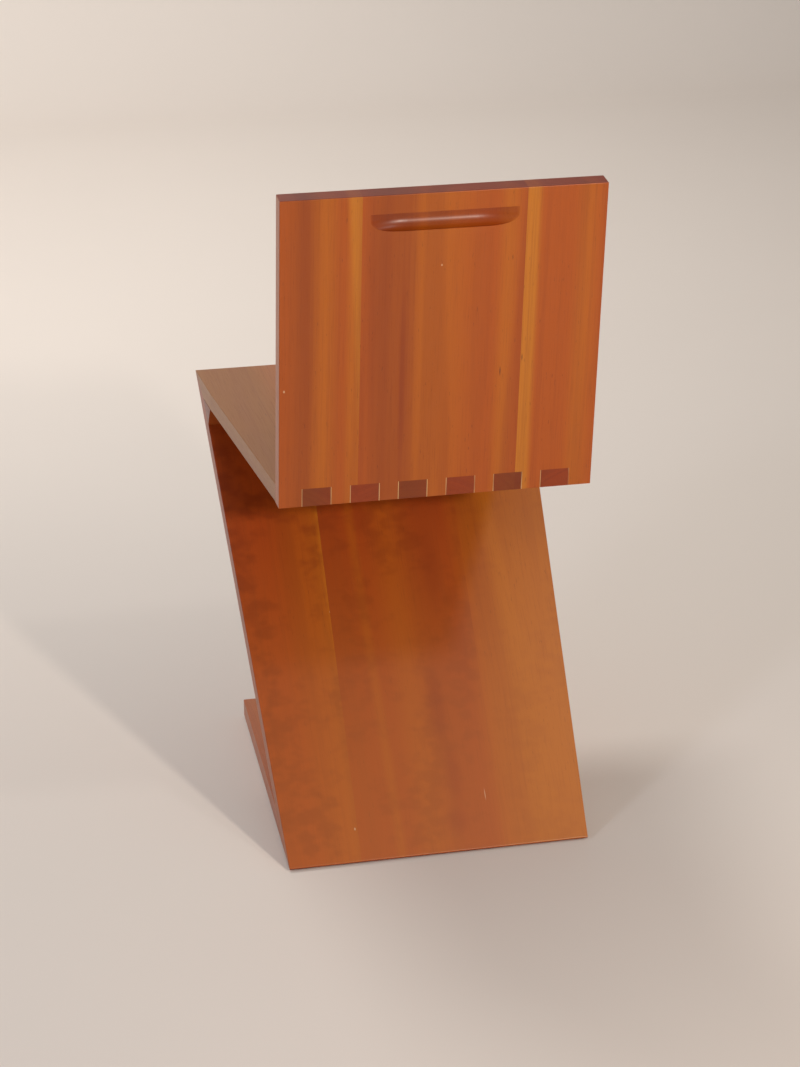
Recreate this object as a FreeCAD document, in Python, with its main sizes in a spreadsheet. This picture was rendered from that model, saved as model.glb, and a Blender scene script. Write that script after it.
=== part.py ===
"""Zig-zag chair: four glued-up cherry panels, mitred at the two acute folds and dovetailed at the back.

Millimetres. +Z is up, the sitter faces -Y and the sitter's left is +X. The origin is on the floor,
under the middle of the chair. Every panel is modelled flat in a frame of its own and then laid in place.
"""
import FreeCAD, Part
import Sketcher
import math
import os

doc = FreeCAD.newDocument("zigzag_chair")
sizes = doc.addObject("Spreadsheet::Sheet", "dim")

# Driving dimensions: name, value and what it measures
DRIVING = [
    ("seat_front_height", 430, "floor to the seat's sharp front edge"),
    ("seat_reach", 425, "how far the seat's front edge stands ahead of the base's rear edge"),
    ("seat_depth", 400, "along the seat's underside, front edge to the back's rear face"),
    ("seat_slope", 0.5, "degrees that the seat falls to the rear"),
    ("back_height", 334, "along the back's rear face"),
    ("back_lean", 7, "degrees that the back leans to the rear"),
    ("base_depth", 396, "base, rear edge to front edge"),
    ("panel_thick", 20, "all four panels"),
    ("back_width", 330, "back, and the seat where it meets the back"),
    ("seat_front_width", 380, "seat and leg at the front edge"),
    ("foot_width", 330, "leg and base at the base's rear edge"),
    ("nose_radius", 1.5, "rounding along the two acute outer edges"),
    ("arris", 0.8, "easing of the panels' other long edges"),
    ("back_joint", 83, "glue joints of the back and seat, from the middle"),
    ("leg_joint_left", 87, "left glue joint of the leg at the foot, from the middle"),
    ("leg_joint_right", 71.5, "right glue joint of the leg at the foot, from the middle"),
    ("leg_joint_skew", 1.2, "degrees between the leg's glue joints and its centre line"),
    ("base_joint", 76, "glue joints of the base, from the middle"),
    ("tail_count", 6, "tails on the seat's rear end"),
    ("tail_width", 31, "tail at the back's rear face"),
    ("end_pin_width", 23.75, "outermost pins at the back's rear face"),
    ("tail_flare", 8, "degrees that each side of a tail spreads to the rear"),
    ("pull_width", 150, "finger pull along its straight top edge"),
    ("pull_run", 72, "finger pull where it is level, between its two rising ends"),
    ("pull_height", 19, "finger pull, top edge to bottom edge"),
    ("pull_depth", 10, "finger pull at its deepest"),
    ("pull_cove", 12, "radius of the finger pull's coved lower side"),
    ("pull_drop", 19.5, "back's top edge to the finger pull's top edge"),
    ("wedge_run", 38, "wedge along the seat or base"),
    ("wedge_drop", 33, "wedge along the leg"),
    ("tongue_thick", 4, "loose tongue"),
    ("tongue_reach", 7, "loose tongue into each of its two pieces"),
    ("tongue_length", 280, "loose tongue across the chair, stopped short of both sides"),
    ("mitre_tongue_place", 36, "mitre's tongue, along the mitre from the sharp edge"),
    ("wedge_tongue_place", 17, "tongue between wedge and leg, from the inner corner"),
    ("screw_shank", 3.5, "wood screw's diameter"),
    ("screw_head", 7, "wood screw's countersunk head"),
    ("screw_grip", 6.5, "wedge wood between screw head and panel"),
    ("screw_bite", 13.5, "wood screw into the seat or base"),
    ("screw_edge", 8, "wood screw's axis from the wedge's long edge"),
    ("screw_pitch", 120, "spacing of the screws across the chair"),
    ("screw_count", 3, "screws into the seat, and into the base"),
    ("fit_clearance", 0.1, "room around screws, tongues and glide stems"),
    ("glide_height", 2, "glide's disc, which lifts the base off the floor"),
    ("glide_width", 18, "glide's disc"),
    ("stem_width", 5, "glide's stem"),
    ("stem_length", 9, "glide's stem up into the base"),
    ("glide_side", 24, "glide's middle from the base's side"),
    ("glide_front", 28, "front glide's middle from the base's front edge"),
    ("glide_rear", 42, "rear glide's middle from the base's rear edge"),
    ("overrun", 12, "how far a cut is carried past the wood"),
]

# Worked-out dimensions: name and formula
DERIVED = [
    ("leg_rise", "seat_front_height - glide_height"),
    ("leg_span", "sqrt(seat_reach ^ 2 + leg_rise ^ 2)"),
    ("leg_angle", "(atan2(leg_rise; seat_reach) + asin(panel_thick / leg_span)) / 1 deg"),
    ("leg_length", "sqrt(leg_span ^ 2 - panel_thick ^ 2)"),
    ("nose_angle", "leg_angle - seat_slope"),
    ("back_tilt", "back_lean - seat_slope"),
    ("seat_mitre", "panel_thick / tan(nose_angle / 2)"),
    ("foot_mitre", "panel_thick / tan(leg_angle / 2)"),
    ("side_taper", "(seat_front_width - foot_width) / 2 / leg_length"),
    ("seat_bend", "seat_mitre + wedge_run"),
    ("seat_bend_half", "seat_front_width / 2 - side_taper * seat_bend"),
    ("shoulder", "seat_depth - panel_thick"),
    ("base_front_width", "foot_width - 2 * side_taper * base_depth"),
    ("tail_pitch", "(back_width - 2 * end_pin_width - tail_width) / (tail_count - 1)"),
    ("pin_width", "tail_pitch - tail_width"),
    ("pull_top", "back_height - pull_drop"),
    ("pull_bottom", "pull_top - pull_height"),
    ("pull_cove_up", "sqrt(pull_cove ^ 2 - (pull_cove - pull_depth) ^ 2)"),
    ("pull_swing", "(((pull_width - pull_run) / 2) ^ 2 - pull_depth ^ 2) / (2 * pull_depth)"),
    ("pull_swing_turn", "2 * acos(pull_swing / (pull_swing + pull_depth)) / 1 deg"),
    ("cut_through", "2 * (panel_thick + overrun)"),
    ("cut_across", "seat_front_width + 2 * overrun"),
    ("nose_recess", "nose_radius / sin(nose_angle / 2) * cos(seat_slope + nose_angle / 2) - nose_radius"),
    ("back_foot_back", "seat_depth * cos(seat_slope) - panel_thick * sin(seat_slope) - seat_reach"),
    ("back_foot_up", "seat_front_height - seat_depth * sin(seat_slope) - panel_thick * cos(seat_slope)"),
    ("front_edge", "nose_recess - seat_reach"),
    ("rear_edge", "back_foot_back + back_height * sin(back_lean)"),
    ("foot_back", "0 - (front_edge + rear_edge) / 2"),
    ("trim_depth", "2 * (panel_thick + wedge_run + wedge_drop)"),
    ("head_height", "(screw_head - screw_shank) / 2"),
    ("screw_place", "wedge_run - screw_edge"),
]

for row, (alias, value, note) in enumerate(DRIVING, start=1):
    sizes.set("A%d" % row, alias)
    sizes.set("B%d" % row, str(value))
    sizes.setAlias("B%d" % row, alias)
    sizes.set("C%d" % row, note)
for row, (alias, formula) in enumerate(DERIVED, start=len(DRIVING) + 1):
    sizes.set("A%d" % row, alias)
    sizes.set("B%d" % row, "=" + formula)
    sizes.setAlias("B%d" % row, alias)
doc.recompute()

SIZE_NAMES = {entry[0] for entry in DRIVING + DERIVED}


def bound(formula):
    """A formula in the sheet's names, written for use by other objects."""
    words = []
    word = ""
    for character in formula + " ":
        if character.isalnum() or character == "_":
            word += character
            continue
        words.append("dim." + word if word in SIZE_NAMES else word)
        words.append(character)
        word = ""
    return "".join(words).strip()


def measure(formula):
    """The present value of a formula in the sheet's names."""
    value = sizes.evalExpression(bound(formula))
    return float(getattr(value, "Value", value))


# Frames: where each panel's own frame lies, as turn about X (degrees), Y and Z

LEVEL_FRAME = ("0", "foot_back", "glide_height")
SEAT_FRAME = ("0 - seat_slope", "foot_back - seat_reach", "seat_front_height")
LEG_FRAME = ("0 - leg_angle", "foot_back - seat_reach", "seat_front_height")
BACK_FRAME = ("0 - back_lean", "foot_back + back_foot_back", "back_foot_up")


def within(frame, along, up, turn="0"):
    """A frame moved along and up its own axes, and turned further about X."""
    angle, back, height = frame
    return (
        "%s + %s" % (angle, turn),
        "%s + (%s) * cos(%s) - (%s) * sin(%s)" % (back, along, angle, up, angle),
        "%s + (%s) * sin(%s) + (%s) * cos(%s)" % (height, along, angle, up, angle),
    )


def place(item, frame):
    angle, back, height = frame
    turn = FreeCAD.Rotation(FreeCAD.Vector(1, 0, 0), measure(angle))
    item.Placement = FreeCAD.Placement(FreeCAD.Vector(), turn)
    item.setExpression("Placement.Rotation.Angle", bound(angle))
    item.setExpression("Placement.Base.y", bound(back))
    item.setExpression("Placement.Base.z", bound(height))


def new_body(name, frame):
    body = doc.addObject("PartDesign::Body", name)
    body.AllowCompound = True
    place(body, frame)
    return body


def origin_feature(body, role):
    return [feature for feature in body.Origin.OriginFeatures if feature.Role == role][0]


def new_sketch(body, role, name):
    sketch = body.newObject("Sketcher::SketchObject", name)
    sketch.AttachmentSupport = [(origin_feature(body, role), "")]
    sketch.MapMode = "FlatFace"
    return sketch


# How a sketch counts a line's ends, a circle's centre and its own two axes
START, FINISH, CENTRE = range(1, 4)
ACROSS_AXIS, UP_AXIS = range(-1, -3, -1)
ORIGIN = (ACROSS_AXIS, START)


def pin_point(sketch, geometry, end, across, up):
    """Hold one point of a sketch at formulas for its two coordinates."""
    for kind, axis, formula in (("DistanceX", UP_AXIS, across), ("DistanceY", ACROSS_AXIS, up)):
        if formula == "0":
            sketch.addConstraint(Sketcher.Constraint("PointOnObject", geometry, end, axis))
            continue
        index = sketch.addConstraint(Sketcher.Constraint(kind, *ORIGIN, geometry, end, measure(formula)))
        sketch.setExpression("Constraints[%d]" % index, bound(formula))


def set_radius(sketch, geometry, radius):
    index = sketch.addConstraint(Sketcher.Constraint("Radius", geometry, measure(radius)))
    sketch.setExpression("Constraints[%d]" % index, bound(radius))


def outline(sketch, corners, arcs=None):
    """A closed outline through corners; arcs gives centre and radius for the side after a corner."""
    arcs = arcs or {}
    points = [FreeCAD.Vector(measure(across), measure(up), 0) for across, up in corners]
    sides = []
    for number, start in enumerate(points):
        finish = points[(number + 1) % len(points)]
        if number not in arcs:
            sides.append((sketch.addGeometry(Part.LineSegment(start, finish)), START, FINISH))
            continue
        across, up, radius = arcs[number]
        centre = FreeCAD.Vector(measure(across), measure(up), 0)
        first = math.atan2(start.y - centre.y, start.x - centre.x)
        last = math.atan2(finish.y - centre.y, finish.x - centre.x)
        circle = Part.Circle(centre, FreeCAD.Vector(0, 0, 1), measure(radius))
        if (last - first) % (2 * math.pi) < math.pi:
            sides.append((sketch.addGeometry(Part.ArcOfCircle(circle, first, last)), START, FINISH))
        else:
            sides.append((sketch.addGeometry(Part.ArcOfCircle(circle, last, first)), FINISH, START))
    for side, following in zip(sides, sides[1:] + sides[:1]):
        meeting = Sketcher.Constraint("Coincident", side[0], side[2], following[0], following[1])
        sketch.addConstraint(meeting)
    for side, (across, up) in zip(sides, corners):
        pin_point(sketch, side[0], side[1], across, up)
    for number, arc in arcs.items():
        set_radius(sketch, sides[number][0], arc[2])


def ring(sketch, across, up, radius):
    """A circle for a hole."""
    centre = FreeCAD.Vector(measure(across), measure(up), 0)
    geometry = sketch.addGeometry(Part.Circle(centre, FreeCAD.Vector(0, 0, 1), measure(radius)))
    pin_point(sketch, geometry, CENTRE, across, up)
    set_radius(sketch, geometry, radius)


def feature(body, kind, name, sketch, length=None, **settings):
    item = body.newObject("PartDesign::" + kind, name)
    item.Profile = sketch
    for key, value in settings.items():
        setattr(item, key, value)
    if length:
        item.setExpression("Length", bound(length))
    doc.recompute()
    return item


def turn(body, name, sketch, angle=360):
    """A turn of half a section about its sketch's upright axis."""
    return feature(body, "Revolution", name, sketch, ReferenceAxis=(sketch, ["V_Axis"]), Angle=angle)


def both_sides(half):
    """A plan's corners on the left, given front to rear or rear to front, with their mirrored fellows."""
    return half + [("0 - " + across, along) for across, along in reversed(half)]


def ease(body, name, chosen, radius="arris"):
    """Round the edges of the body's present solid that the test picks."""
    base = body.Tip
    edges = ["Edge%d" % number for number, edge in enumerate(base.Shape.Edges, start=1) if chosen(edge)]
    fillet = body.newObject("PartDesign::Fillet", name)
    fillet.Base = (base, edges)
    fillet.setExpression("Radius", bound(radius))
    doc.recompute()
    return fillet


def runs_along_side(edge):
    """True for a panel's long side edges, which run neither across the chair nor through the panel."""
    ends = [vertex.Point for vertex in edge.Vertexes]
    reach = ends[1] - ends[0]
    return abs(reach.y) > max(abs(reach.x), abs(reach.z))


def mitre_cut(body, name, tip, along, up, angle):
    """Cut a panel's end on the mitre of a fold and round its share of the sharp edge.

    tip is the sharp edge in the panel's side view; along and up are the signs of the wood's way from it.
    """
    half = "%s / 2" % angle
    nose = "(nose_radius / sin(%s) - nose_radius)" % half
    run = "nose_radius / tan(%s)" % half
    far = "(panel_thick + overrun)"

    def at(distance, depth):
        return ("%s %s (%s)" % (tip[0], along, distance), "%s %s (%s)" % (tip[1], up, depth))

    corners = [
        at("%s * cos(%s)" % (nose, half), "%s * sin(%s)" % (nose, half)),
        at(run, "0"),
        at(run, "0 - overrun"),
        at("0 - overrun", "0 - overrun"),
        at("0 - overrun", far),
        at("%s / tan(%s)" % (far, half), far),
    ]
    centre = at(run, "nose_radius")
    sketch = new_sketch(body, "YZ_Plane", name + "_sketch")
    outline(sketch, corners, {0: (centre[0], centre[1], "nose_radius")})
    feature(body, "Pocket", name, sketch, "cut_across", Midplane=True)


def mitre_tongue(tip, along, up, angle, room="0"):
    """Side view of a mitre's loose tongue, which stands square to the mitre, with room all round it."""
    half = "%s / 2" % angle
    corners = []
    for side, reach in (("-", "-"), ("+", "-"), ("+", "+"), ("-", "+")):
        place_along = "(mitre_tongue_place %s (tongue_thick / 2 + %s))" % (side, room)
        place_out = "(0 %s (tongue_reach + %s))" % (reach, room)
        distance = "%s * cos(%s) - %s * sin(%s)" % (place_along, half, place_out, half)
        depth = "%s * sin(%s) + %s * cos(%s)" % (place_along, half, place_out, half)
        corners.append(("%s %s (%s)" % (tip[0], along, distance), "%s %s (%s)" % (tip[1], up, depth)))
    return corners


def wedge_tongue(middle, face, room="0"):
    """Side view of the loose tongue between a wedge and the leg, square to the leg's face."""
    corners = []
    for side, reach in (("-", "-"), ("+", "-"), ("+", "+"), ("-", "+")):
        along = "%s %s (tongue_thick / 2 + %s)" % (middle, side, room)
        corners.append((along, "%s %s (tongue_reach + %s)" % (face, reach, room)))
    return corners


def slot(body, name, corners):
    sketch = new_sketch(body, "YZ_Plane", name + "_sketch")
    outline(sketch, corners)
    feature(body, "Pocket", name, sketch, "tongue_length + 2 * fit_clearance", Midplane=True)


def tongue(name, frame, corners, room="0"):
    body = new_body(name, frame)
    sketch = new_sketch(body, "YZ_Plane", name + "_sketch")
    outline(sketch, corners)
    feature(body, "Pad", name + "_pad", sketch, "tongue_length + 2 * %s" % room, Midplane=True)
    return body


def side_trim(name, frame, half):
    """A deep block with a panel's plan, which trims a wedge flush with the panel's sides."""
    body = new_body(name, frame)
    sketch = new_sketch(body, "XY_Plane", name + "_sketch")
    outline(sketch, both_sides(half))
    feature(body, "Pad", name + "_pad", sketch, "trim_depth", Midplane=True)
    return body


def wedge(name, frame, corner, along, up, angle):
    """A triangular block that fills the acute inner corner between two panels, still too long."""
    body = new_body(name, frame)
    sketch = new_sketch(body, "YZ_Plane", name + "_sketch")
    outline(sketch, [
        corner,
        ("%s %s wedge_run" % (corner[0], along), corner[1]),
        ("%s %s wedge_drop * cos(%s)" % (corner[0], along, angle),
         "%s %s wedge_drop * sin(%s)" % (corner[1], up, angle)),
    ])
    feature(body, "Pad", name + "_pad", sketch, "cut_across", Midplane=True)
    return body


def screw_row(name, frame, corners):
    """A row of like turned solids across the chair, from half of their section."""
    body = new_body(name, frame)
    sketch = new_sketch(body, "XZ_Plane", name + "_sketch")
    outline(sketch, corners)
    sketch.setExpression("AttachmentOffset.Base.x", bound("(1 - screw_count) / 2 * screw_pitch"))
    turned = turn(body, name + "_turned", sketch)
    row = body.newObject("PartDesign::LinearPattern", name + "_row")
    row.Originals = [turned]
    row.Direction = (origin_feature(body, "X_Axis"), [""])
    row.setExpression("Length", bound("(screw_count - 1) * screw_pitch"))
    row.setExpression("Occurrences", bound("screw_count"))
    body.Tip = row
    doc.recompute()
    return body


def screw_section(room="0"):
    """Half a wood screw, head up, with the panel's face at zero; with room it is the hole, counterbored."""
    shank = "screw_shank / 2 + %s" % room
    head = "screw_head / 2 + %s" % room
    corners = [
        ("0", "0 - screw_bite - %s" % room),
        (shank, "0 - screw_bite - %s" % room),
        (shank, "screw_grip - head_height"),
        (head, "screw_grip"),
    ]
    if room == "0":
        return corners + [("0", "screw_grip")]
    return corners + [(head, "wedge_run + overrun"), ("0", "wedge_run + overrun")]


def cut(name, base, *tools, kind="Part::Cut"):
    """A solid with other solids taken out of it, or trimmed to them with Part::Common."""
    for number, tool in enumerate(tools, start=1):
        item = doc.addObject(kind, "%s_%d" % (name, number))
        item.Base = base
        item.Tool = tool
        doc.recompute()
        base = item
    return base


finished = []


def keep(item, label):
    item.Label = label
    finished.append(item)


def boards(panel, name, role, frame, low, high, joints):
    """Part a glued-up panel into its three boards along its two glue joints.

    joints gives each joint's place at the low and high ends of the panel, left joint first.
    """
    left, right = joints
    outside = "cut_across / 2"
    edges = [(outside, outside), left, right, ("0 - " + outside, "0 - " + outside)]
    for side, one, other in zip(("left", "middle", "right"), edges, edges[1:]):
        label = "%s_%s_board" % (name, side)
        body = new_body(label + "_strip", frame)
        sketch = new_sketch(body, role, label + "_outline")
        outline(sketch, [(other[0], low), (one[0], low), (one[1], high), (other[1], high)])
        feature(body, "Pad", label + "_pad", sketch, "cut_through", Midplane=True)
        keep(cut(label, panel, body, kind="Part::Common"), label)


# Wood screws hold each wedge to the seat or base; each row comes with its holes

SEAT_CORNER = ("seat_mitre", "0 - panel_thick")
BASE_CORNER = ("0 - foot_mitre", "panel_thick")
SCREW_ROWS = {
    "seat_screws": within(SEAT_FRAME, "seat_mitre + screw_place", "0 - panel_thick", "180"),
    "base_screws": within(LEVEL_FRAME, "0 - foot_mitre - screw_place", "panel_thick"),
}
screw_holes = {}
for row_name, row_frame in SCREW_ROWS.items():
    keep(screw_row(row_name + "_body", row_frame, screw_section()), row_name)
    screw_holes[row_name] = screw_row(row_name + "_holes", row_frame, screw_section("fit_clearance"))

# Loose tongues between each wedge and the leg; each comes with its slot

WEDGE_TONGUES = {
    "seat_wedge_tongue": ("seat_mitre + wedge_tongue_place", "panel_thick"),
    "base_wedge_tongue": ("leg_length - foot_mitre - wedge_tongue_place", "0"),
}
wedge_slots = {}
for tongue_name, (middle, face) in WEDGE_TONGUES.items():
    keep(tongue(tongue_name + "_body", LEG_FRAME, wedge_tongue(middle, face)), tongue_name)
    slot_corners = wedge_tongue(middle, face, "fit_clearance")
    wedge_slots[tongue_name] = tongue(tongue_name + "_slot", LEG_FRAME, slot_corners, "fit_clearance")

# Seat: flat panel with its top at zero and its front edge at zero
# Its sides follow the leg's taper as far as the wedge, and from there run in to the back's width

seat = new_body("seat_panel", SEAT_FRAME)
seat_plan = new_sketch(seat, "XY_Plane", "seat_plan")
seat_half = [
    ("seat_front_width / 2", "0"),
    ("seat_bend_half", "seat_bend"),
    ("back_width / 2", "shoulder"),
    ("back_width / 2", "seat_depth + panel_thick"),
]
outline(seat_plan, both_sides(seat_half))
feature(seat, "Pad", "seat_pad", seat_plan, "panel_thick", Reversed=True)
ease(seat, "seat_arrises", runs_along_side)
mitre_cut(seat, "seat_mitre_cut", ("0", "0"), "+", "-", "nose_angle")
slot(seat, "seat_mitre_slot", mitre_tongue(("0", "0"), "+", "-", "nose_angle", "fit_clearance"))

# The seat's rear end, bevelled to the leaning back
bevel = new_sketch(seat, "YZ_Plane", "seat_bevel_outline")
outline(bevel, [
    ("seat_depth - overrun * tan(back_tilt)", "0 - panel_thick - overrun"),
    ("seat_depth + 2 * panel_thick", "0 - panel_thick - overrun"),
    ("seat_depth + 2 * panel_thick", "overrun"),
    ("seat_depth + (panel_thick + overrun) * tan(back_tilt)", "overrun"),
])
feature(seat, "Pocket", "seat_bevel", bevel, "cut_across", Midplane=True)


def pin_sketch(name):
    """A sketch on the back's foot, seen from above, in which the gaps between the tails are drawn."""
    sketch = new_sketch(seat, "XY_Plane", name)
    sketch.AttachmentOffset = FreeCAD.Placement(
        FreeCAD.Vector(), FreeCAD.Rotation(FreeCAD.Vector(1, 0, 0), -measure("back_tilt")))
    sketch.setExpression("AttachmentOffset.Rotation.Angle", bound("0 - back_tilt"))
    sketch.setExpression("AttachmentOffset.Base.y", bound("seat_depth"))
    sketch.setExpression("AttachmentOffset.Base.z", bound("0 - panel_thick"))
    return sketch


# Tails: the gaps for the back's pins are cut down through the seat along the back, wider to the front
front_spread = "panel_thick * tan(tail_flare)"
rear_spread = "overrun * tan(tail_flare)"
first_pin = "(0 - (tail_count - 2) / 2 * tail_pitch)"
pin_gap = pin_sketch("pin_gap_outline")
outline(pin_gap, [
    ("%s - pin_width / 2 - %s" % (first_pin, front_spread), "0 - panel_thick"),
    ("%s + pin_width / 2 + %s" % (first_pin, front_spread), "0 - panel_thick"),
    ("%s + pin_width / 2 - %s" % (first_pin, rear_spread), "overrun"),
    ("%s - pin_width / 2 + %s" % (first_pin, rear_spread), "overrun"),
])
gap = feature(seat, "Pocket", "pin_gap", pin_gap, "cut_through", Midplane=True)
gaps = seat.newObject("PartDesign::LinearPattern", "pin_gaps")
gaps.Originals = [gap]
gaps.Direction = (origin_feature(seat, "X_Axis"), [""])
gaps.setExpression("Length", bound("(tail_count - 2) * tail_pitch"))
gaps.setExpression("Occurrences", bound("tail_count - 1"))
seat.Tip = gaps
doc.recompute()
end_gap = pin_sketch("end_gap_outline")
outline(end_gap, [
    ("back_width / 2 - end_pin_width - %s" % front_spread, "0 - panel_thick"),
    ("back_width / 2 + overrun", "0 - panel_thick"),
    ("back_width / 2 + overrun", "overrun"),
    ("back_width / 2 - end_pin_width + %s" % rear_spread, "overrun"),
])
end_cut = feature(seat, "Pocket", "end_gap", end_gap, "cut_through", Midplane=True)
end_cuts = seat.newObject("PartDesign::Mirrored", "end_gaps")
end_cuts.Originals = [end_cut]
end_cuts.MirrorPlane = (origin_feature(seat, "YZ_Plane"), [""])
seat.Tip = end_cuts
doc.recompute()
seat_drilled = cut("seat_drilled", seat, screw_holes["seat_screws"])
boards(seat_drilled, "seat", "XY_Plane", SEAT_FRAME, "0 - overrun", "seat_depth + overrun",
       [("back_joint", "back_joint"), ("0 - back_joint", "0 - back_joint")])

# Back: upright panel with its rear face at zero, its foot planed flush with the seat's underside

back = new_body("back_panel", BACK_FRAME)
back_side = new_sketch(back, "YZ_Plane", "back_side_view")
outline(back_side, [
    ("0", "0"),
    ("0", "back_height"),
    ("0 - panel_thick", "back_height"),
    ("0 - panel_thick", "0 - panel_thick * tan(back_tilt)"),
])
feature(back, "Pad", "back_pad", back_side, "back_width", Midplane=True)
ease(back, "back_arrises", lambda edge: edge.CenterOfMass.z > measure("panel_thick"))


# Finger pull: straight along the top and coved below, as a cutter leaves it that swings in, runs level
# and swings out again about an upright axis behind the back's rear face
pull = new_body("pull_cutter", BACK_FRAME)


def pull_section(name, across):
    """Side view of the finger pull, drawn from the axis of its swing."""
    sketch = new_sketch(pull, "YZ_Plane", name)
    sketch.setExpression("AttachmentOffset.Base.x", bound("pull_swing"))
    sketch.setExpression("AttachmentOffset.Base.z", bound(across))
    outline(sketch, [
        ("overrun - pull_swing", "pull_top"),
        ("0 - pull_swing - pull_depth", "pull_top"),
        ("0 - pull_swing - pull_depth", "pull_bottom + pull_cove_up"),
        ("0 - pull_swing", "pull_bottom"),
        ("overrun - pull_swing", "pull_bottom"),
    ], {2: ("pull_cove - pull_depth - pull_swing", "pull_bottom + pull_cove_up", "pull_cove")})
    return sketch


feature(pull, "Pad", "pull_level", pull_section("pull_level_outline", "0"), "pull_run", Midplane=True)
swing = turn(pull, "pull_swing_out", pull_section("pull_swing_outline", "pull_run / 2"))
swing.setExpression("Angle", bound("pull_swing_turn"))
swings = pull.newObject("PartDesign::Mirrored", "pull_swings")
swings.Originals = [swing]
swings.MirrorPlane = (origin_feature(pull, "YZ_Plane"), [""])
pull.Tip = swings
doc.recompute()
back_socketed = cut("back_socketed", back, pull, seat)
boards(back_socketed, "back", "XZ_Plane", BACK_FRAME, "0 - panel_thick", "back_height + overrun",
       [("back_joint", "back_joint"), ("0 - back_joint", "0 - back_joint")])

# Leg: flat panel with its front face at zero, mitred at both ends

leg = new_body("leg_panel", LEG_FRAME)
leg_plan = new_sketch(leg, "XY_Plane", "leg_plan")
leg_half = [("seat_front_width / 2", "0"), ("foot_width / 2", "leg_length")]
outline(leg_plan, both_sides(leg_half))
feature(leg, "Pad", "leg_pad", leg_plan, "panel_thick")
ease(leg, "leg_arrises", runs_along_side)
LEG_FOOT = ("leg_length", "panel_thick")
mitre_cut(leg, "leg_top_mitre_cut", ("0", "0"), "+", "+", "nose_angle")
mitre_cut(leg, "leg_foot_mitre_cut", LEG_FOOT, "-", "-", "leg_angle")
slot(leg, "leg_top_mitre_slot", mitre_tongue(("0", "0"), "+", "+", "nose_angle", "fit_clearance"))
slot(leg, "leg_foot_mitre_slot", mitre_tongue(LEG_FOOT, "-", "-", "leg_angle", "fit_clearance"))
leg_slotted = cut("leg_slotted", leg, *wedge_slots.values())
skew = "(leg_length + 2 * overrun) * tan(leg_joint_skew)"
boards(leg_slotted, "leg", "XY_Plane", LEG_FRAME, "0 - overrun", "leg_length + overrun",
       [("leg_joint_left - " + skew, "leg_joint_left"),
        ("0 - leg_joint_right - " + skew, "0 - leg_joint_right")])

# Base: flat panel with its underside at zero, rear edge at zero, its sides carrying on the leg's taper

base = new_body("base_panel", LEVEL_FRAME)
base_plan = new_sketch(base, "XY_Plane", "base_plan")
base_half = [("foot_width / 2", "0"), ("base_front_width / 2", "0 - base_depth")]
outline(base_plan, both_sides(base_half))
feature(base, "Pad", "base_pad", base_plan, "panel_thick")
ease(base, "base_arrises", lambda edge: edge.CenterOfMass.y < -measure("foot_mitre"))
mitre_cut(base, "base_mitre_cut", ("0", "0"), "-", "+", "leg_angle")
slot(base, "base_mitre_slot", mitre_tongue(("0", "0"), "-", "+", "leg_angle", "fit_clearance"))
GLIDES = {}
for glide_end, glide_along in (("front", "glide_front - base_depth"), ("rear", "0 - glide_rear")):
    glide_across = "(foot_width / 2 + side_taper * (%s) - glide_side)" % glide_along
    GLIDES[glide_end + "_left"] = (glide_across, glide_along)
    GLIDES[glide_end + "_right"] = ("0 - " + glide_across, glide_along)
stems = new_sketch(base, "XY_Plane", "glide_stem_holes_sketch")
for glide_across, glide_along in GLIDES.values():
    ring(stems, glide_across, glide_along, "stem_width / 2 + fit_clearance")
feature(base, "Pocket", "glide_stem_holes", stems, "stem_length + fit_clearance", Reversed=True)
base_drilled = cut("base_drilled", base, screw_holes["base_screws"])
boards(base_drilled, "base", "XY_Plane", LEVEL_FRAME, "0 - base_depth - overrun", "overrun",
       [("base_joint", "base_joint"), ("0 - base_joint", "0 - base_joint")])

# Wedges: triangular blocks in the two acute corners, trimmed flush with the panels' sides,
# drilled for the screws and slotted for the tongues

leg_sides = side_trim("leg_sides", LEG_FRAME, leg_half)
seat_sides = side_trim("seat_sides", SEAT_FRAME, seat_half)
seat_wedge = wedge("seat_wedge_block", SEAT_FRAME, SEAT_CORNER, "+", "-", "nose_angle")
seat_wedge_trimmed = cut("seat_wedge_trimmed", seat_wedge, seat_sides, leg_sides, kind="Part::Common")
seat_wedge_cuts = (screw_holes["seat_screws"], wedge_slots["seat_wedge_tongue"])
keep(cut("seat_wedge_cut", seat_wedge_trimmed, *seat_wedge_cuts), "seat_wedge")
base_sides = side_trim("base_sides", LEVEL_FRAME, base_half)
base_wedge = wedge("base_wedge_block", LEVEL_FRAME, BASE_CORNER, "-", "+", "leg_angle")
base_wedge_trimmed = cut("base_wedge_trimmed", base_wedge, base_sides, leg_sides, kind="Part::Common")
base_wedge_cuts = (screw_holes["base_screws"], wedge_slots["base_wedge_tongue"])
keep(cut("base_wedge_cut", base_wedge_trimmed, *base_wedge_cuts), "base_wedge")

# Loose tongues in the two mitres

seat_tongue = mitre_tongue(("0", "0"), "+", "-", "nose_angle")
keep(tongue("seat_mitre_tongue_body", SEAT_FRAME, seat_tongue), "seat_mitre_tongue")
base_tongue = mitre_tongue(("0", "0"), "-", "+", "leg_angle")
keep(tongue("base_mitre_tongue_body", LEVEL_FRAME, base_tongue), "base_mitre_tongue")

# Glides: a disc under the base on a stem pressed up into it

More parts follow.
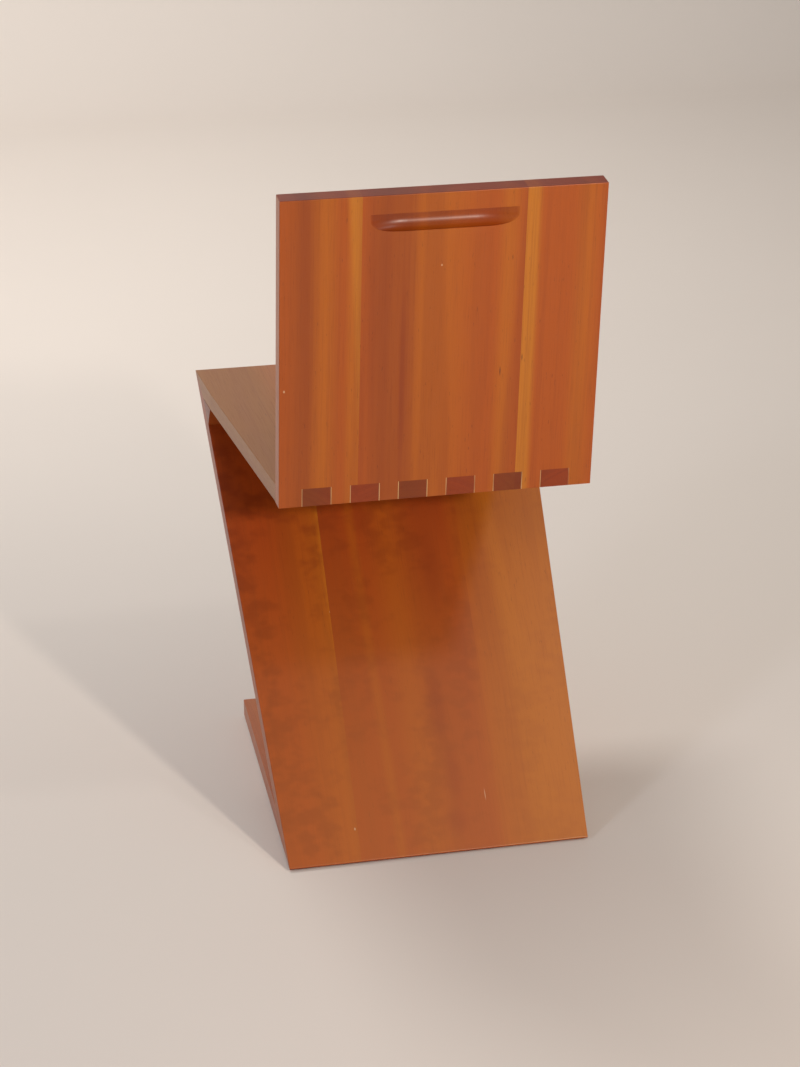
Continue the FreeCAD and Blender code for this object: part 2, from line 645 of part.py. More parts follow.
for glide_name, (glide_across, glide_along) in GLIDES.items():
    label = "glide_" + glide_name
    glide = new_body(label + "_body", within(LEVEL_FRAME, glide_along, "0 - glide_height"))
    glide.setExpression("Placement.Base.x", bound(glide_across))
    glide_sketch = new_sketch(glide, "XZ_Plane", label + "_sketch")
    outline(glide_sketch, [
        ("0", "0"),
        ("glide_width / 2", "0"),
        ("glide_width / 2", "glide_height"),
        ("stem_width / 2", "glide_height"),
        ("stem_width / 2", "glide_height + stem_length"),
        ("0", "glide_height + stem_length"),
    ])
    turn(glide, label + "_turned", glide_sketch)
    keep(glide, label)

# Checks, then one file for each piece

doc.recompute()
for item in doc.Objects:
    faults = [state for state in item.State if state in ("Invalid", "Error")]
    if faults:
        raise RuntimeError("%s is %s" % (item.Label, faults))
for item in finished:
    if item.Shape.isNull() or not item.Shape.isValid():
        raise RuntimeError("%s has no valid shape" % item.Label)
    if not item.Shape.Solids:
        raise RuntimeError("%s has no solid" % item.Label)

os.makedirs("parts", exist_ok=True)
for item in finished:
    item.Shape.exportStep("parts/%s.step" % item.Label)
print("%d pieces written" % len(finished))
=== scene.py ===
"""Looks of the zig-zag chair: lacquered cherry boards, a few brass screws and nylon glides, on a pale floor.

Metres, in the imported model's frame: +Z up, the sitter faces -Y, the sitter's left is +X.
The chair is seen from behind, so the sitter's left is also left in the picture.
"""
import math

import bmesh
import bpy
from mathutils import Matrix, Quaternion, Vector

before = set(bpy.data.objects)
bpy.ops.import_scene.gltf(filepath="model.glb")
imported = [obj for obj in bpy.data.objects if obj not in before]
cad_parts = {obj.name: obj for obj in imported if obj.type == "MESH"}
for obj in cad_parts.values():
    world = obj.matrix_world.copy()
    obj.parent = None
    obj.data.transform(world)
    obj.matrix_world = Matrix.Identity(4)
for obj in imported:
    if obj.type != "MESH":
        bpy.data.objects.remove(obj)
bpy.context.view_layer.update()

# Back: three upright cherry boards, edge-glued, planed, sanded and sprayed with satin lacquer.
# The middle board has the finger pull routed into its rear face. Each outer board keeps a strip
# of pale sapwood beside the glue joint, wider at the top on the left.

MM = 1000.0

# The turn that lays the grain along Z, and where the board then lies, in mm
BACK_TURN = (math.radians(7.0), 0.0, 0.0)
BACK_FACE = 127.7
BACK_THICKNESS = 20.0
BACK_TOP = 739.7

# Heartwood tones, the sapwood outside them, and what darkens or marks the wood
# The seat's tan is partly the wood's own tone, partly painted sheen of the lacquer on the seat top
TAN_AND_SHEEN = "#9C5C10"
BROWN = "#9C490E"
RED = "#A2400E"
RUSSET = "#AA4F0E"
AMBER = "#B25D0F"
HONEY = "#BB6A14"
SAPWOOD = "#BE721A"
DARK_BAND = "#86330C"
LATEWOOD = "#8A3A10"
MOTTLE = "#782606"
PORE = "#702C0C"
GUM = "#4B1D10"
NICK = "#DDBF98"
# Darkens end grain, and also paints shade inside the routed pull
END_GRAIN_AND_SHADE_TINT = "#CC9A90"
GLUE = "#C9A06E"

# Widths across the grain and lengths along it, in mm
# Fibres and flecks are drawn coarser than real ones, which are too fine to show
WANDER = 4.0
WANDER_ACROSS = 160.0
WANDER_ALONG = 420.0
STREAK_WIDTH = 22.0
STREAK_LENGTH = 800.0
RING_WIDTH = 4.0
RING_LENGTH = 900.0
FIBRE_WIDTH = 0.9
FIBRE_LENGTH = 40.0
FIGURE_ACROSS = 18.0
FIGURE_ALONG = 13.0
PATCH_ACROSS = 45.0
PATCH_ALONG = 120.0
FLECK_WIDTH = 1.2
FLECK_LENGTH = 10.0
SAP_WAVER = 5.0
SAP_FADE = 4.0
GLUE_WIDTH = 1.0
NICK_DEPTH = 5.0
HOLLOW_EASE = 1.5
HOLLOW_TOP_EASE = 1.0

# How much of a colour shows, and where in a noise it starts
SAP_AMOUNT = 0.9
# Darkening inside the routed pull: partly darker wood, partly painted shade
HOLLOW_TINT_AND_SHADE = 0.5
MARK_CORE = 0.2
GLUE_LEAST = 0.25
GLUE_THIN = 0.35
GLUE_FULL = 0.6
NOISE_FALLOFF = 0.6
NOISE_LOW = 0.3
NOISE_HIGH = 0.7

# How squarely a face crosses the grain before it looks like end grain
END_START = 0.5
END_FULL = 0.9

# Planed cherry under satin lacquer, with the grain just felt through it, in mm
WOOD_IOR = 1.5
WOOD_SPECULAR = 0.16
WOOD_SMOOTHEST = 0.38
WOOD_ROUGHEST = 0.50
LACQUER_IOR = 1.5
LACQUER_WEIGHT = 0.55
LACQUER_ROUGHNESS = 0.32
GRAIN_RELIEF = 0.2
GRAIN_BUMP = 0.06


def linear(hex_colour):
    """A written sRGB colour as linear RGBA."""
    channels = [int(hex_colour[start:start + 2], 16) / 255 for start in (1, 3, 5)]
    return [c / 12.92 if c <= 0.04045 else ((c + 0.055) / 1.055) ** 2.4 for c in channels] + [1.0]


def add_node(tree, kind, settings=None, inputs=None):
    """Add a node with its settings; an input is a value, or the node or socket to link to it."""
    node = tree.nodes.new(kind)
    for name, value in (settings or {}).items():
        setattr(node, name, value)
    for key, value in (inputs or {}).items():
        named = [socket for socket in node.inputs if socket.name == key and socket.enabled]
        socket = named[0] if named else node.inputs[key]
        if isinstance(value, bpy.types.Node):
            value = next(output for output in value.outputs if output.enabled)
        if isinstance(value, bpy.types.NodeSocket):
            tree.links.new(value, socket)
        else:
            socket.default_value = value
    return node


def lacquered_cherry(board, turn, streaks, pith, sap=None, figure=0.0, marks=(), tails=None,
                     face=0.0, hollow=None):
    """Satin-lacquered cherry: broad red and tan streaks, fine growth rings round a pith, short pores.

    turn lays the grain along Z; streaks are (mm across, colour) from +X to -X; pith is the log's centre
    in mm across and through; sap is (side, start, finish), where the sapwood lies on that side of the
    line between the two (across, along) points; figure is how dark the ripple is;
    marks are (across, along, half width, half length, strength, colour), in mm;
    tails is (pitch, width) of the tails sawn in its rear end, whose sides show a line of glue;
    face is where its nicked or routed face lies through the log;
    hollow is (thickness, top) of the board, where a pull is routed below that top and painted darker, partly
    as shade.
    """
    material = bpy.data.materials.new("lacquered_cherry_" + board)
    material.use_nodes = True
    tree = material.node_tree
    tree.nodes.clear()
    place = add_node(tree, "ShaderNodeTexCoord")
    log = add_node(tree, "ShaderNodeMapping", {}, {
        "Vector": place.outputs["Object"], "Rotation": turn, "Scale": (MM, MM, MM)})
    straight = add_node(tree, "ShaderNodeSeparateXYZ", {}, {"Vector": log})

    # The grain wanders a little from a straight line
    slow = add_node(tree, "ShaderNodeVectorMath", {"operation": "MULTIPLY"}, {
        0: log, 1: (1 / WANDER_ACROSS, 1 / WANDER_ACROSS, 1 / WANDER_ALONG)})
    drift = add_node(tree, "ShaderNodeTexNoise", {}, {"Vector": slow, "Scale": 1.0, "Detail": 1.0})
    shift = add_node(tree, "ShaderNodeVectorMath", {"operation": "MULTIPLY_ADD"}, {
        0: drift.outputs["Color"], 1: (2 * WANDER, 2 * WANDER, 0.0), 2: (-WANDER, -WANDER, 0.0)})
    grain = add_node(tree, "ShaderNodeVectorMath", {"operation": "ADD"}, {0: log, 1: shift})
    axes = add_node(tree, "ShaderNodeSeparateXYZ", {}, {"Vector": grain})

    # Distance from the pith gives the growth rings and, wider, the bands
    off_pith = add_node(tree, "ShaderNodeVectorMath", {"operation": "MULTIPLY_ADD"}, {
        0: grain, 1: (1.0, 1.0, 0.0), 2: (-pith[0], -pith[1], 0.0)})
    radius = add_node(tree, "ShaderNodeVectorMath", {"operation": "LENGTH"}, {0: off_pith})
    ring_place = add_node(tree, "ShaderNodeCombineXYZ", {}, {
        "X": radius.outputs["Value"], "Y": axes.outputs["Z"], "Z": pith[0]})
    tones = {}
    for name, source, size, detail in (
            ("band", ring_place, (STREAK_WIDTH, STREAK_LENGTH, 1.0), 1.5),
            ("ring", ring_place, (RING_WIDTH, RING_LENGTH, 1.0), 3.0),
            ("fibre", grain, (FIBRE_WIDTH, FIBRE_WIDTH, FIBRE_LENGTH), 2.0),
            ("fleck", grain, (FLECK_WIDTH, FLECK_WIDTH, FLECK_LENGTH), 1.0),
            ("ripple", grain, (FIGURE_ACROSS, FIGURE_ACROSS, FIGURE_ALONG), 1.5),
            ("patch", grain, (PATCH_ACROSS, PATCH_ACROSS, PATCH_ALONG), 1.0)):
        scaled = add_node(tree, "ShaderNodeVectorMath", {"operation": "DIVIDE"}, {0: source, 1: size})
        noise = add_node(tree, "ShaderNodeTexNoise", {}, {
            "Vector": scaled, "Scale": 1.0, "Detail": detail, "Roughness": NOISE_FALLOFF})
        tones[name] = noise.outputs[0]
    tones["figure"] = add_node(tree, "ShaderNodeMath", {"operation": "MULTIPLY"}, {
        0: tones["ripple"], 1: tones["patch"]}).outputs[0]

    # Colours across the board
    first, last = streaks[0][0], streaks[-1][0]
    across_board = add_node(tree, "ShaderNodeMapRange", {}, {
        "Value": axes.outputs["X"], "From Min": first, "From Max": last})
    ramp = add_node(tree, "ShaderNodeValToRGB", {}, {"Fac": across_board})
    ramp.color_ramp.interpolation = "EASE"
    while len(ramp.color_ramp.elements) < len(streaks):
        ramp.color_ramp.elements.new(0.5)
    for element, (across, shade) in zip(ramp.color_ramp.elements, streaks):
        element.position = (across - first) / (last - first)
        element.color = linear(shade)
    colour = ramp.outputs["Color"]

    # Sapwood outside a line that wavers with the rings
    layers = []
    if sap:
        side, start, finish = sap
        line = add_node(tree, "ShaderNodeMapRange", {"clamp": False}, {
            "Value": straight.outputs["Z"], "From Min": start[1], "From Max": finish[1],
            "To Min": start[0], "To Max": finish[0]})
        waver = add_node(tree, "ShaderNodeMath", {"operation": "MULTIPLY_ADD"}, {
            0: tones["band"], 1: SAP_WAVER, 2: -SAP_WAVER / 2})
        wavering = add_node(tree, "ShaderNodeMath", {"operation": "ADD"}, {0: line, 1: waver})
        tones["sap"] = add_node(tree, "ShaderNodeMath", {"operation": "SUBTRACT"}, {
            0: straight.outputs["X"], 1: wavering}).outputs[0]
        layers.append(("sap", -side * SAP_FADE, side * SAP_FADE, SAP_AMOUNT, SAPWOOD))

    # Darker bands, rings, figure and pores: where each starts and is full in its noise, and its amount
    layers += [
        ("band", 0.48, 0.68, 0.32, DARK_BAND),
        ("ring", 0.46, 0.70, 0.24, LATEWOOD),
        ("figure", 0.20, 0.42, figure, MOTTLE),
        ("fibre", 0.50, 0.76, 0.24, PORE),
        ("fleck", 0.70, 0.78, 0.40, GUM),
    ]

    # Gum marks and soft dark streaks in the wood, painted light that pales the leg's foot, and small pale
    # nicks in the lacquer
    for number, (across, along, half_width, half_length, strength, shade) in enumerate(marks):
        inward = 1 / NICK_DEPTH if shade == NICK else 0.0
        offset = add_node(tree, "ShaderNodeVectorMath", {"operation": "MULTIPLY_ADD"}, {
            0: log, 1: (1 / half_width, inward, 1 / half_length),
            2: (-across / half_width, -face * inward, -along / half_length)})
        mark = "mark_%d" % number
        tones[mark] = add_node(tree, "ShaderNodeVectorMath", {"operation": "LENGTH"}, {
            0: offset}).outputs["Value"]
        layers.append((mark, 1.0, MARK_CORE, strength, shade))

    for name, start, finish, most, shade in layers:
        amount = add_node(tree, "ShaderNodeMapRange", {"interpolation_type": "SMOOTHSTEP"}, {
            "Value": tones[name], "From Min": start, "From Max": finish, "To Max": most})
        colour = add_node(tree, "ShaderNodeMix", {"data_type": "RGBA"}, {
            "Factor": amount, "A": colour, "B": linear(shade)})

    # Cut ends drink more lacquer and come out darker
    facing = add_node(tree, "ShaderNodeMapping", {"vector_type": "NORMAL"}, {
        "Vector": place.outputs["Normal"], "Rotation": turn})
    ends = add_node(tree, "ShaderNodeSeparateXYZ", {}, {"Vector": facing})
    squarely = add_node(tree, "ShaderNodeMath", {"operation": "ABSOLUTE"}, {0: ends.outputs["Z"]})
    end_grain = add_node(tree, "ShaderNodeMapRange", {"interpolation_type": "SMOOTHSTEP"}, {
        "Value": squarely, "From Min": END_START, "From Max": END_FULL})
    end_grain_and_hollow_shade = end_grain

    # The routed pull is darkened evenly, whichever way its walls face: partly the darker routed wood, partly
    # painted shade under its lip
    if hollow:
        thickness, top = hollow
        below_face = add_node(tree, "ShaderNodeMath", {"operation": "SUBTRACT"}, {
            0: face, 1: straight.outputs["Y"]})
        from_faces = add_node(tree, "ShaderNodeMath", {"operation": "PINGPONG"}, {
            0: below_face, 1: thickness / 2})
        inside = add_node(tree, "ShaderNodeMapRange", {}, {"Value": from_faces, "From Max": HOLLOW_EASE})
        below_top = add_node(tree, "ShaderNodeMapRange", {}, {
            "Value": straight.outputs["Z"], "From Min": top + HOLLOW_TOP_EASE, "From Max": top})
        hollowed = add_node(tree, "ShaderNodeMath", {"operation": "MULTIPLY"}, {0: inside, 1: below_top})
        end_grain_and_hollow_shade = add_node(tree, "ShaderNodeMix", {}, {"Factor": hollowed, "A": end_grain, "B": HOLLOW_TINT_AND_SHADE})
    colour = add_node(tree, "ShaderNodeMix", {"data_type": "RGBA", "blend_type": "MULTIPLY"}, {
        "Factor": end_grain_and_hollow_shade, "A": colour, "B": linear(END_GRAIN_AND_SHADE_TINT)})

    # An uneven line of glue beside each tail, on the rear end alone
    if tails:
        pitch, width = tails
        from_pin = add_node(tree, "ShaderNodeMath", {"operation": "PINGPONG"}, {
            0: straight.outputs["X"], 1: pitch / 2})
        tail_side = (pitch - width) / 2
        beside = add_node(tree, "ShaderNodeMapRange", {}, {
            "Value": from_pin, "From Min": tail_side + GLUE_WIDTH, "From Max": tail_side + GLUE_WIDTH / 2})
        uneven = add_node(tree, "ShaderNodeMapRange", {}, {
            "Value": tones["patch"], "From Min": GLUE_THIN, "From Max": GLUE_FULL, "To Min": GLUE_LEAST})
        rear_end = add_node(tree, "ShaderNodeMapRange", {}, {
            "Value": ends.outputs["Z"], "From Min": END_START, "From Max": END_FULL})
        on_end = add_node(tree, "ShaderNodeMath", {"operation": "MULTIPLY"}, {0: beside, 1: rear_end})
        amount = add_node(tree, "ShaderNodeMath", {"operation": "MULTIPLY"}, {0: on_end, 1: uneven})
        colour = add_node(tree, "ShaderNodeMix", {"data_type": "RGBA"}, {
            "Factor": amount, "A": colour, "B": linear(GLUE)})

    # The fibres also roughen the surface and raise it a little under the lacquer
    rough = add_node(tree, "ShaderNodeMapRange", {}, {
        "Value": tones["fibre"], "From Min": NOISE_LOW, "From Max": NOISE_HIGH,
        "To Min": WOOD_SMOOTHEST, "To Max": WOOD_ROUGHEST})
    relief = add_node(tree, "ShaderNodeBump", {}, {
        "Height": tones["fibre"], "Strength": GRAIN_BUMP, "Distance": GRAIN_RELIEF / MM})
    shader = add_node(tree, "ShaderNodeBsdfPrincipled", {}, {
        "Base Color": colour, "Roughness": rough, "Normal": relief,
        "IOR": WOOD_IOR, "Specular IOR Level": WOOD_SPECULAR,
        "Coat Weight": LACQUER_WEIGHT, "Coat Roughness": LACQUER_ROUGHNESS, "Coat IOR": LACQUER_IOR})
    add_node(tree, "ShaderNodeOutputMaterial", {}, {"Surface": shader})
    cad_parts[board].material_slots[0].material = material


lacquered_cherry(
    "back_left_board", BACK_TURN,
    [(165.0, RUSSET), (140.0, BROWN), (118.0, AMBER), (100.0, RUSSET), (92.0, AMBER)], (190.0, 130.0),
    sap=(-1.0, (79.0, 450.0), (96.0, 755.0)),
    face=BACK_FACE, marks=[(159.9, 556.4, 1.2, 2.0, 0.7, NICK)])
lacquered_cherry(
    "back_middle_board", BACK_TURN,
    [(83.0, RUSSET), (60.0, BROWN), (38.0, BROWN), (15.0, AMBER), (-52.0, RUSSET), (-66.0, AMBER),
     (-83.0, RUSSET)], (-40.0, 150.0), face=BACK_FACE, hollow=(BACK_THICKNESS, BACK_TOP),
    marks=[(39.5, 560.0, 5.0, 150.0, 0.6, DARK_BAND), (-62.1, 562.2, 0.9, 7.0, 0.9, GUM),
           (-70.2, 686.1, 0.7, 4.0, 0.7, GUM), (2.0, 682.5, 1.2, 1.6, 0.7, NICK)])
lacquered_cherry(
    "back_right_board", BACK_TURN,
    [(-83.0, AMBER), (-104.0, RUSSET), (-130.0, RUSSET), (-145.0, AMBER), (-165.0, RUSSET)], (-260.0, 90.0),
    sap=(1.0, (-96.0, 450.0), (-96.0, 745.0)),
    marks=[(-84.5, 576.1, 0.8, 5.0, 0.8, GUM)])

# Seat: three boards front to back, in line with the back's, with six tails sawn in their rear ends.
# The tails pass through the back and show as dark end grain, with a thin pale line of glue beside each.

SEAT_TURN = (math.radians(90.5), 0.0, 0.0)
TAIL_PITCH = 50.3
TAIL_WIDTH = 31.0
TAILS = (TAIL_PITCH, TAIL_WIDTH)

# The seat boards are painted tan: partly their own tone, partly painted sheen of the seat top
lacquered_cherry(
    "seat_left_board", SEAT_TURN, [(190.0, TAN_AND_SHEEN), (140.0, TAN_AND_SHEEN), (83.0, AMBER)], (210.0, -300.0),
    tails=TAILS)
lacquered_cherry(
    "seat_middle_board", SEAT_TURN, [(83.0, AMBER), (30.0, TAN_AND_SHEEN), (-20.0, AMBER), (-83.0, TAN_AND_SHEEN)],
    (30.0, -300.0), tails=TAILS)
lacquered_cherry(
    "seat_right_board", SEAT_TURN, [(-83.0, TAN_AND_SHEEN), (-130.0, AMBER), (-190.0, TAN_AND_SHEEN)], (-180.0, -310.0),
    tails=TAILS)

# Leg: three boards along the slope, mitred and tongued to the seat above and the base below.
# This panel is the most figured: the grain ripples across and the lacquer shows it as dark mottling.

LEG_TURN = (math.radians(137.1), 0.0, 0.0)
LEG_FACE = -150.6

# Painted light: the leg is a little paler towards the foot, where more light falls on it
PAINTED_FOOT_LIGHT = (0.0, 137.0, 500.0, 520.0, 0.4, HONEY)

lacquered_cherry(
    "leg_left_board", LEG_TURN, [(180.0, RED), (140.0, RED), (100.0, RUSSET), (74.0, AMBER)],
    (250.0, -200.0), figure=0.55, sap=(-1.0, (80.0, -300.0), (80.0, -60.0)), face=LEG_FACE,
    marks=[PAINTED_FOOT_LIGHT, (88.9, 98.6, 1.2, 2.2, 0.6, NICK), (80.5, -150.3, 1.0, 1.8, 0.6, NICK)])
lacquered_cherry(
    "leg_middle_board", LEG_TURN,
    [(85.0, RED), (52.0, RED), (42.0, RUSSET), (34.0, RED), (3.0, RUSSET), (-34.0, RED), (-60.0, RED),
     (-80.0, RUSSET)],
    (20.0, -380.0), figure=0.4, face=LEG_FACE,
    marks=[PAINTED_FOOT_LIGHT, (-41.0, -190.0, 16.0, 70.0, 0.30, DARK_BAND), (-21.0, -30.0, 14.0, 60.0, 0.28, DARK_BAND),
           (-28.0, 50.0, 12.0, 45.0, 0.24, DARK_BAND), (-25.0, 101.0, 16.0, 22.0, 0.24, DARK_BAND),
           (-59.2, 75.0, 0.7, 9.0, 0.5, NICK)])
lacquered_cherry(
    "leg_right_board", LEG_TURN, [(-70.0, RUSSET), (-92.0, AMBER), (-118.0, HONEY), (-180.0, HONEY)],
    (-150.0, -330.0), figure=0.15, marks=[PAINTED_FOOT_LIGHT])

# Base: three cherry boards front to back, edge-glued and mitred to the foot of the leg.
# It lies flat, held just off the floor by the glides under it.

BASE_TURN = (math.radians(90.0), 0.0, 0.0)

lacquered_cherry(
    "base_left_board", BASE_TURN, [(165.0, RUSSET), (120.0, AMBER), (76.0, RED)], (180.0, 60.0))
lacquered_cherry(
    "base_middle_board", BASE_TURN, [(76.0, RUSSET), (10.0, RED), (-76.0, AMBER)], (-20.0, 90.0))
lacquered_cherry(
    "base_right_board", BASE_TURN, [(-76.0, AMBER), (-110.0, RUSSET), (-165.0, AMBER)], (-210.0, 70.0))

# Wedges: triangular blocks of the same cherry, glued and screwed into the two acute corners.
# Their grain runs across the chair, so their ends show end grain at the chair's sides.

WEDGE_TURN = (0.0, math.radians(-90.0), 0.0)

for wedge in ("seat_wedge", "base_wedge"):
    lacquered_cherry(wedge, WEDGE_TURN, [(-500.0, BROWN), (500.0, RUSSET)], (40.0, 60.0))

# Loose tongues: strips of bare beech glued into slots in the mitres and under the wedges.
# Beech is pale and even, with short brown flecks.

BEECH = "#CBA478"
BEECH_FLECK = "#A9784C"
BEECH_FLECK_START = 0.5
BEECH_FLECK_FULL = 0.7
BEECH_FLECK_AMOUNT = 0.6
BEECH_ROUGHNESS = 0.65
BEECH_IOR = 1.5

beech = bpy.data.materials.new("bare_beech")
beech.use_nodes = True
tree = beech.node_tree
tree.nodes.clear()
place = add_node(tree, "ShaderNodeTexCoord")
stretched = add_node(tree, "ShaderNodeMapping", {}, {
    "Vector": place.outputs["Object"], "Scale": (MM / FLECK_LENGTH, MM / FLECK_WIDTH, MM / FLECK_WIDTH)})
fleck = add_node(tree, "ShaderNodeTexNoise", {}, {"Vector": stretched, "Scale": 1.0, "Detail": 2.0})
amount = add_node(tree, "ShaderNodeMapRange", {}, {
    "Value": fleck, "From Min": BEECH_FLECK_START, "From Max": BEECH_FLECK_FULL,
    "To Max": BEECH_FLECK_AMOUNT})
colour = add_node(tree, "ShaderNodeMix", {"data_type": "RGBA"}, {
    "Factor": amount, "A": linear(BEECH), "B": linear(BEECH_FLECK)})
shader = add_node(tree, "ShaderNodeBsdfPrincipled", {}, {
    "Base Color": colour, "Roughness": BEECH_ROUGHNESS, "IOR": BEECH_IOR})
add_node(tree, "ShaderNodeOutputMaterial", {}, {"Surface": shader})
for tongue in ("seat_mitre_tongue", "base_mitre_tongue", "seat_wedge_tongue", "base_wedge_tongue"):
    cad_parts[tongue].material_slots[0].material = beech

# Wood screws: turned brass with countersunk heads, sunk in the wedges and driven into seat and base.
# Handling dulls the brass in patches, browner and rougher than the rest.

BRASS = "#C99B52"
BRASS_DULL = "#8A6432"
BRASS_SMOOTHEST = 0.22
BRASS_ROUGHEST = 0.5
TARNISH_PATCH = 2.5

brass = bpy.data.materials.new("turned_brass")
brass.use_nodes = True
tree = brass.node_tree
tree.nodes.clear()
place = add_node(tree, "ShaderNodeTexCoord")
tarnish = add_node(tree, "ShaderNodeTexNoise", {}, {
    "Vector": place.outputs["Object"], "Scale": MM / TARNISH_PATCH, "Detail": 3.0})
colour = add_node(tree, "ShaderNodeMix", {"data_type": "RGBA"}, {
    "Factor": tarnish, "A": linear(BRASS), "B": linear(BRASS_DULL)})
rough = add_node(tree, "ShaderNodeMapRange", {}, {
    "Value": tarnish, "To Min": BRASS_SMOOTHEST, "To Max": BRASS_ROUGHEST})
shader = add_node(tree, "ShaderNodeBsdfPrincipled", {}, {
    "Base Color": colour, "Roughness": rough, "Metallic": 1.0})
add_node(tree, "ShaderNodeOutputMaterial", {}, {"Surface": shader})
for row in ("seat_screws", "base_screws"):
    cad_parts[row].material_slots[0].material = brass

# Glides: black nylon discs, moulded, with stems pressed up into the base.
# Moulding leaves a fine even texture, drawn coarser here so that it shows, and scuffs have turned it
# a little paler in spots.

NYLON = "#1C1A18"
NYLON_SCUFF = "#3A3632"
NYLON_ROUGHNESS = 0.55
NYLON_IOR = 1.53
MOULD_GRAIN = 0.8
MOULD_RELIEF = 0.2
MOULD_BUMP = 0.2

nylon = bpy.data.materials.new("moulded_nylon")
nylon.use_nodes = True
tree = nylon.node_tree
tree.nodes.clear()
place = add_node(tree, "ShaderNodeTexCoord")
mould = add_node(tree, "ShaderNodeTexNoise", {}, {
    "Vector": place.outputs["Object"], "Scale": MM / MOULD_GRAIN, "Detail": 2.0})
colour = add_node(tree, "ShaderNodeMix", {"data_type": "RGBA"}, {
    "Factor": mould, "A": linear(NYLON), "B": linear(NYLON_SCUFF)})
relief = add_node(tree, "ShaderNodeBump", {}, {
    "Height": mould, "Strength": MOULD_BUMP, "Distance": MOULD_RELIEF / MM})
shader = add_node(tree, "ShaderNodeBsdfPrincipled", {}, {
    "Base Color": colour, "Roughness": NYLON_ROUGHNESS, "Normal": relief, "IOR": NYLON_IOR})
add_node(tree, "ShaderNodeOutputMaterial", {}, {"Surface": shader})
for end in ("front", "rear"):
    for side in ("left", "right"):
        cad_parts["glide_%s_%s" % (end, side)].material_slots[0].material = nylon

# Floor: a pale painted floor that sweeps up behind the chair in one curve, in metres.
# The paint is matt, rolled on by hand, so its tone drifts a little from place to place.

FLOOR_COLOUR = "#E0D7CF"
FLOOR_DRIFT = 0.03
FLOOR_ROUGHNESS = 0.7
FLOOR_PATCH = 0.9
FLOOR_HALF = 6.0
FLOOR_NEAR = 6.0
SWEEP_START = -3.3
SWEEP_RADIUS = 0.6
WALL_TOP = 4.0
SWEEP_STEPS = 16

profile = bmesh.new()
near_edge = profile.verts.new((-FLOOR_HALF, FLOOR_NEAR, 0.0))
bend_edge = profile.verts.new((-FLOOR_HALF, SWEEP_START, 0.0))
profile.edges.new((near_edge, bend_edge))
bmesh.ops.spin(
    profile, geom=[bend_edge], cent=(-FLOOR_HALF, SWEEP_START, SWEEP_RADIUS), axis=(1.0, 0.0, 0.0),
    angle=-math.radians(90.0), steps=SWEEP_STEPS)
wall_foot = max(profile.verts, key=lambda vertex: vertex.co.z)
wall_top = profile.verts.new((-FLOOR_HALF, wall_foot.co.y, WALL_TOP))
profile.edges.new((wall_foot, wall_top))
swept = bmesh.ops.extrude_edge_only(profile, edges=profile.edges[:])
moved = [item for item in swept["geom"] if isinstance(item, bmesh.types.BMVert)]
bmesh.ops.translate(profile, verts=moved, vec=(2 * FLOOR_HALF, 0.0, 0.0))
bmesh.ops.recalc_face_normals(profile, faces=profile.faces[:])
floor_mesh = bpy.data.meshes.new("studio_floor")
profile.to_mesh(floor_mesh)
profile.free()
for face in floor_mesh.polygons:
    face.use_smooth = True
floor = bpy.data.objects.new("studio_floor", floor_mesh)
bpy.context.scene.collection.objects.link(floor)

paint = bpy.data.materials.new("floor_paint")
paint.use_nodes = True
tree = paint.node_tree
tree.nodes.clear()
place = add_node(tree, "ShaderNodeTexCoord")
patch = add_node(tree, "ShaderNodeTexNoise", {}, {
    "Vector": place.outputs["Object"], "Scale": 1 / FLOOR_PATCH, "Detail": 4.0})
tone = add_node(tree, "ShaderNodeMapRange", {}, {
    "Value": patch, "To Min": 1 - FLOOR_DRIFT, "To Max": 1 + FLOOR_DRIFT})
colour = add_node(tree, "ShaderNodeMix", {"data_type": "RGBA", "blend_type": "MULTIPLY"}, {
    "Factor": 1.0, "A": linear(FLOOR_COLOUR), "B": tone})
shader = add_node(tree, "ShaderNodeBsdfPrincipled", {}, {"Base Color": colour, "Roughness": FLOOR_ROUGHNESS})
add_node(tree, "ShaderNodeOutputMaterial", {}, {"Surface": shader})
floor_mesh.materials.append(paint)

# Studio light: a key low on the right of the camera, a cool weaker lamp from the left, a small lamp
# high on the right, one that washes the backdrop, and a dim even surround.

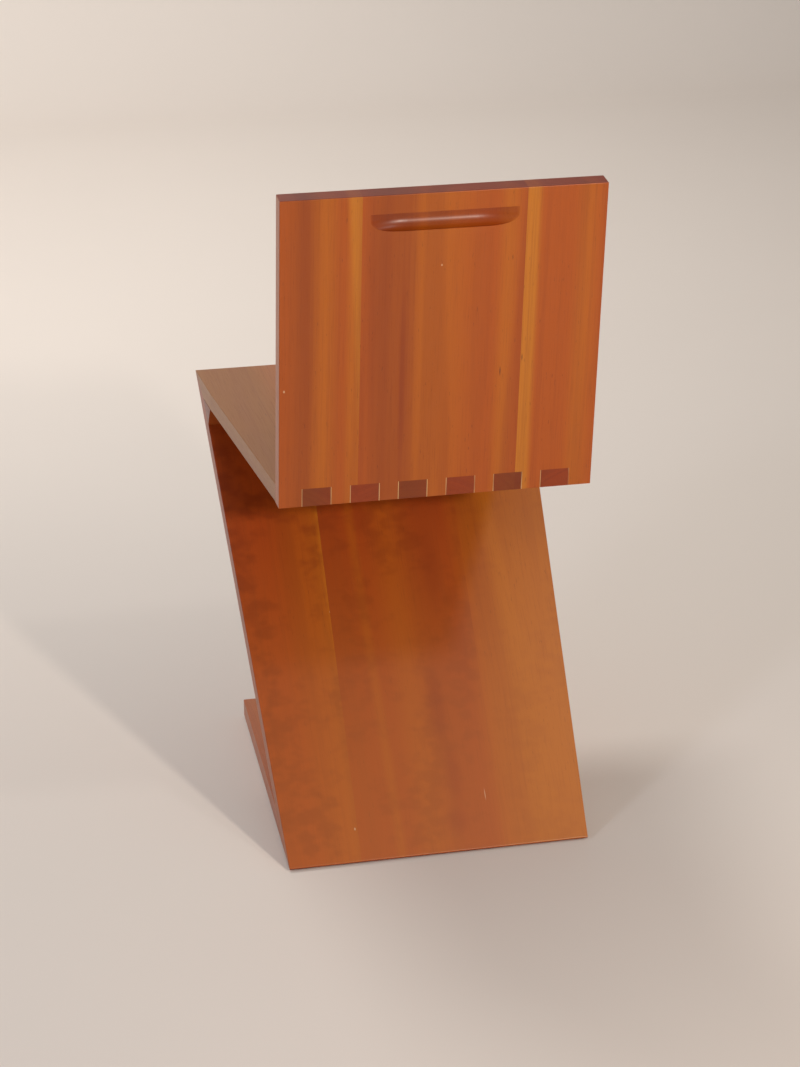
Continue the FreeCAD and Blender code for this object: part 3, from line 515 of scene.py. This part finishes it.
# Each lamp's place, the point it faces, its diameter, its watts and its colour
LAMPS = {
    "key_lamp": ((-0.68, 2.00, 1.15), (0.0, 0.0, 0.40), 0.14, 23.0, "#FFF3E6"),
    "left_lamp": ((2.20, 1.55, 1.40), (0.0, 0.0, 0.35), 0.4, 14.0, "#E2ECFF"),
    "high_lamp": ((-1.22, 1.32, 2.50), (0.0, 0.0, 0.2), 0.3, 5.5, "#FFFCF8"),
    "backdrop_lamp": ((0.70, -1.60, 2.90), (0.6, -3.3, 0.1), 1.2, 72.0, "#FFFCF8"),
}
SURROUND_COLOUR = "#F4F2F0"
SURROUND_STRENGTH = 0.30

for lamp_name, (spot, lamp_aim, lamp_size, watts, lamp_colour) in LAMPS.items():
    lamp_data = bpy.data.lights.new(lamp_name, "AREA")
    lamp_data.shape = "DISK"
    lamp_data.size = lamp_size
    lamp_data.energy = watts
    lamp_data.color = linear(lamp_colour)[:3]
    lamp = bpy.data.objects.new(lamp_name, lamp_data)
    lamp.location = spot
    lamp.rotation_euler = (Vector(lamp_aim) - Vector(spot)).to_track_quat("-Z", "Y").to_euler()
    lamp.visible_camera = False
    bpy.context.scene.collection.objects.link(lamp)

world = bpy.data.worlds.new("surround")
world.use_nodes = True
surround = world.node_tree.nodes["Background"]
surround.inputs["Color"].default_value = linear(SURROUND_COLOUR)
surround.inputs["Strength"].default_value = SURROUND_STRENGTH
bpy.context.scene.world = world
bpy.context.scene.view_settings.view_transform = "Standard"

# Camera: behind the chair, a little to its left and well above it, with a long lens.
# Its place, roll and focal length come from a fit to the corners of the four panels.

CAMERA_SPOT = Vector((0.6077, 2.7583, 1.4119))
CAMERA_AIM = Vector((-0.0010, 0.0, 0.2958))
CAMERA_ROLL = math.radians(-0.19)
PHOTO_HEIGHT = 1067
FOCAL_PIXELS = 2747.5

camera_data = bpy.data.cameras.new("camera")
camera_data.lens = FOCAL_PIXELS * camera_data.sensor_width / PHOTO_HEIGHT
camera = bpy.data.objects.new("camera", camera_data)
camera.location = CAMERA_SPOT
camera.rotation_mode = "QUATERNION"
aim = (CAMERA_AIM - CAMERA_SPOT).to_track_quat("-Z", "Y")
camera.rotation_quaternion = aim @ Quaternion((0.0, 0.0, 1.0), CAMERA_ROLL)
bpy.context.scene.collection.objects.link(camera)
bpy.context.scene.camera = camera
